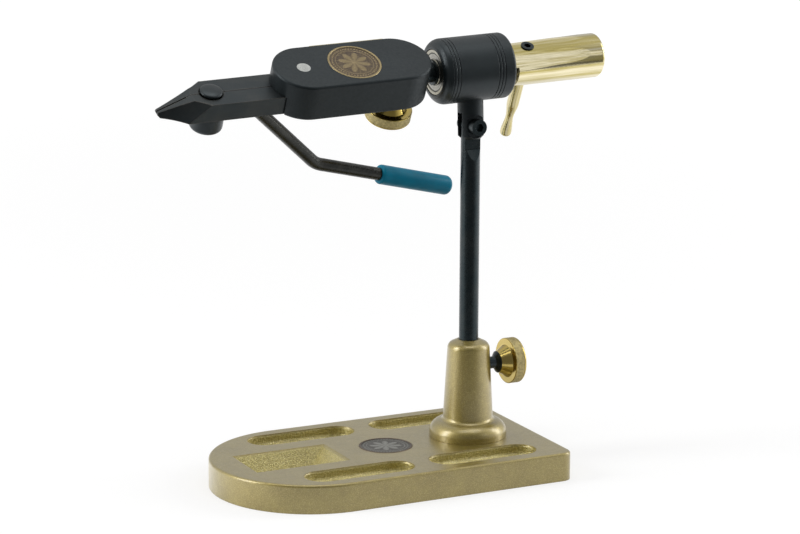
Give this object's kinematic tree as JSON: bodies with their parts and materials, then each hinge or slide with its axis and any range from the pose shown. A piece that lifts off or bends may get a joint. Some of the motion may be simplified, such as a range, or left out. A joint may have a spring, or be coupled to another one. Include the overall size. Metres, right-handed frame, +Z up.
{
  "type": "fly tying vise",
  "caption": "Rotary fly tying vise: cam-lever jaws on a flat head, bearing drum with brass sleeve, clamped post and a heavy base plate with tool trays and a hook pocket.",
  "frame": {"origin": "on the post's axis at the underside of the base plate", "axes": "+Z up along the post, jaws towards -X, the tyer sits on the -Y side"},
  "size_m": [0.2306, 0.099, 0.2134],
  "materials": {
    "champagne_finish": "metallic satin, slightly textured",
    "dark_pewter": "antique, matt field with raised rim",
    "black_steel": "semi gloss black oxide",
    "black_anodised": "satin anodised",
    "bearing_steel": "ground bright steel",
    "bright_steel": "polished",
    "jaw_steel": "dark oxide, fine ground",
    "brass": "turned, polished",
    "antique_bronze": "antique, brass rim",
    "liner_bronze": "plain bearing bronze",
    "grip_vinyl": "smooth dipped vinyl"
  },
  "bodies": {
    "base": {"base_plate": "champagne_finish", "base_badge": "dark_pewter", "pedestal": "champagne_finish", "pedestal_screws": "black_steel"},
    "clamp_screw": {"post_clamp_screw": "black_steel", "post_clamp_knob": "brass"},
    "bush": {"post_bush": "liner_bronze"},
    "post": {"post": "black_steel"},
    "drum": {"tilt_fork": "black_anodised", "tilt_bolt": "black_steel", "tilt_nut": "black_steel", "drum_housing": "black_anodised", "front_bearing_outer": "bearing_steel", "front_bearing_balls": "bearing_steel", "front_bearing_shield": "bearing_steel", "rear_bearing_outer": "bearing_steel", "rear_bearing_balls": "bearing_steel", "rear_bearing_shield": "bearing_steel", "friction_washer": "bearing_steel"},
    "spindle": {"spindle": "black_steel", "front_bearing_inner": "bearing_steel", "rear_bearing_inner": "bearing_steel", "bearing_spacer": "bearing_steel", "rotary_sleeve": "brass", "sleeve_set_screw": "black_steel", "turning_handle": "brass"},
    "drag": {"drag_nut": "brass"},
    "head": {"head_body": "black_anodised", "head_badge": "antique_bronze", "side_plate": "brass", "side_plate_rivets": "brass", "jaw_pin": "bright_steel", "jaw_spring": "bright_steel"},
    "body_knob": {"body_clamp_screw": "black_steel", "body_clamp_knob": "brass"},
    "jaw_far": {"jaw_far": "jaw_steel"},
    "jaw_near": {"jaw_near": "jaw_steel"},
    "cone": {"cone_pin": "jaw_steel", "cone_pin_cap": "black_anodised"},
    "lever": {"lever_rod": "black_steel", "lever_pin": "bright_steel", "lever_grip": "grip_vinyl"}
  },
  "joints": [
    {"name": "clamp_screw_turn", "type": "hinge", "parent": "base", "child": "clamp_screw", "pos_m": [0, 0, 0.0494], "axis": [1, 0, 0], "range_deg": [0, 720]},
    {"name": "post_swivel", "type": "hinge", "parent": "base", "child": "bush", "pos_m": [0, 0, 0.04], "axis": [0, 0, 1], "continuous": true},
    {"name": "post_slide", "type": "slide", "parent": "bush", "child": "post", "axis": [0, 0, 1], "range_m": [0, 0.02]},
    {"name": "head_tilt", "type": "hinge", "parent": "post", "child": "drum", "pos_m": [0, 0, 0.1694], "axis": [0, 1, 0], "range_deg": [-25, 40]},
    {"name": "head_rotary", "type": "hinge", "parent": "drum", "child": "spindle", "pos_m": [-0.00087, 0, 0.19707], "axis": [0.9995, 0, 0.0314], "range_deg": [-13, 318]},
    {"name": "drag_turn", "type": "hinge", "parent": "spindle", "child": "drag", "pos_m": [0.01812, 0, 0.19766], "axis": [0.9995, 0, 0.0314], "range_deg": [0, 180]},
    {"name": "head_reach", "type": "slide", "parent": "spindle", "child": "head", "axis": [-0.9995, 0, -0.0314], "range_m": [0, 0.01]},
    {"name": "body_knob_turn", "type": "hinge", "parent": "head", "child": "body_knob", "pos_m": [-0.04002, 0.00549, 0.18516], "axis": [0.0279, 0.4571, -0.889], "range_deg": [0, 720]},
    {"name": "lever_squeeze", "type": "hinge", "parent": "head", "child": "lever", "pos_m": [-0.1232, 0.00185, 0.18962], "axis": [0.0144, -0.8894, -0.4569], "range_deg": [0, 9], "stiffness_Nm_per_rad": 6},
    {"name": "cone_slide", "type": "slide", "parent": "head", "child": "cone", "axis": [0.0279, 0.4571, -0.889], "range_m": [0, 0.0024]},
    {"name": "jaw_far_open", "type": "hinge", "parent": "head", "child": "jaw_far", "pos_m": [-0.09052, 0, 0.19425], "axis": [0.0279, 0.4571, -0.889], "range_deg": [0, 1.2]},
    {"name": "jaw_near_open", "type": "hinge", "parent": "head", "child": "jaw_near", "pos_m": [-0.09052, 0, 0.19425], "axis": [-0.0279, -0.4571, 0.889], "range_deg": [0, 1.2]}
  ],
  "couplings": [
    {"joint": "cone_slide", "follows": "lever_squeeze", "m_per_rad": 0.0126},
    {"joint": "jaw_far_open", "follows": "lever_squeeze", "ratio": 0.10546},
    {"joint": "jaw_near_open", "follows": "lever_squeeze", "ratio": 0.10546}
  ]
}
